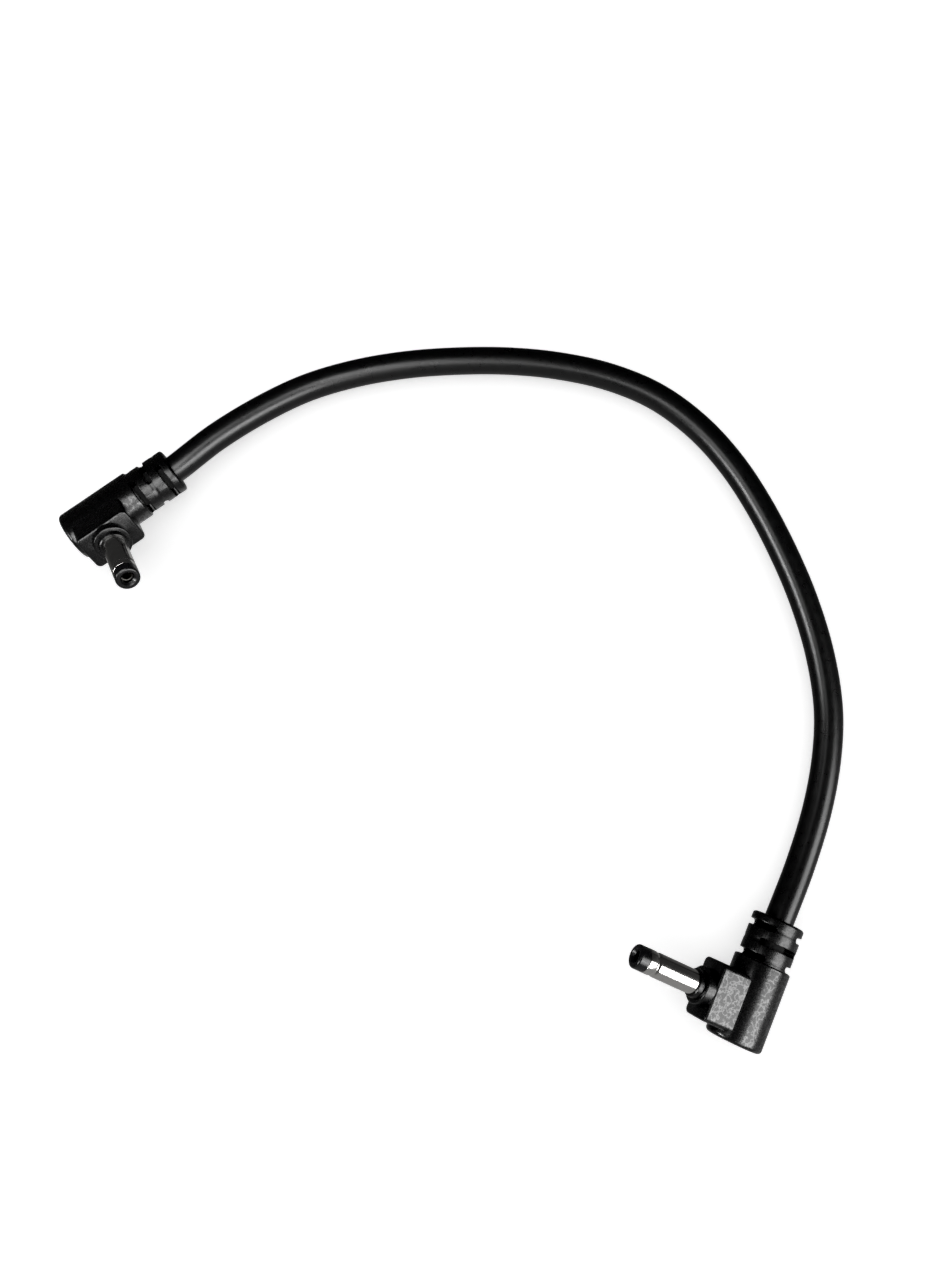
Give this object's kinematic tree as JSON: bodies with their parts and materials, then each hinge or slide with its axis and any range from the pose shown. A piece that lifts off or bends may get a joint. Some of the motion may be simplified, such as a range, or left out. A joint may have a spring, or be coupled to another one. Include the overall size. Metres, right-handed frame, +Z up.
{
  "type": "right-angle power lead",
  "caption": "Short low-voltage power lead: round flexible cable with a moulded right-angle barrel plug, slotted strain relief and plated sleeve on each end.",
  "frame": {"origin": "the middle of the plugs' footprint, on the surface that the lead lies on", "axes": "Z is up from that surface; X runs from the plug at the left of the picture to the one at its right, along the longer side of the plugs' box; Y is the picture's upward direction"},
  "size_m": [0.1178, 0.1056, 0.0176],
  "materials": {
    "plug_mould": "soft black PVC with a fine satin grain",
    "inner_mould": "natural polyethylene pre-mould, hidden",
    "sleeve": "bright nickel plate",
    "nose": "hard glossy black plastic",
    "centre_contact": "bright spring brass",
    "lug": "tinned brass, hidden",
    "washer": "brown laminate, hidden",
    "solder": "bright solder, hidden",
    "jacket": "smooth satin black PVC",
    "red_insulation": "red PVC, hidden",
    "black_insulation": "black PVC, hidden",
    "conductor": "stranded copper, hidden"
  },
  "bodies": {
    "root": {"plug_a_outer_mould": "plug_mould", "plug_a_inner_mould": "inner_mould", "plug_a_sleeve_contact": "sleeve", "plug_a_nose_bush": "nose", "plug_a_centre_contact": "centre_contact", "plug_a_sleeve_lug": "lug", "plug_a_rear_washer": "washer", "plug_a_centre_solder": "solder", "plug_a_sleeve_solder": "solder", "plug_b_outer_mould": "plug_mould", "plug_b_inner_mould": "inner_mould", "plug_b_sleeve_contact": "sleeve", "plug_b_nose_bush": "nose", "plug_b_centre_contact": "centre_contact", "plug_b_sleeve_lug": "lug", "plug_b_rear_washer": "washer", "plug_b_centre_solder": "solder", "plug_b_sleeve_solder": "solder", "cable_jacket": "jacket", "red_core_insulation": "red_insulation", "black_core_insulation": "black_insulation", "red_core_conductor": "conductor", "black_core_conductor": "conductor"}
  },
  "joints": []
}
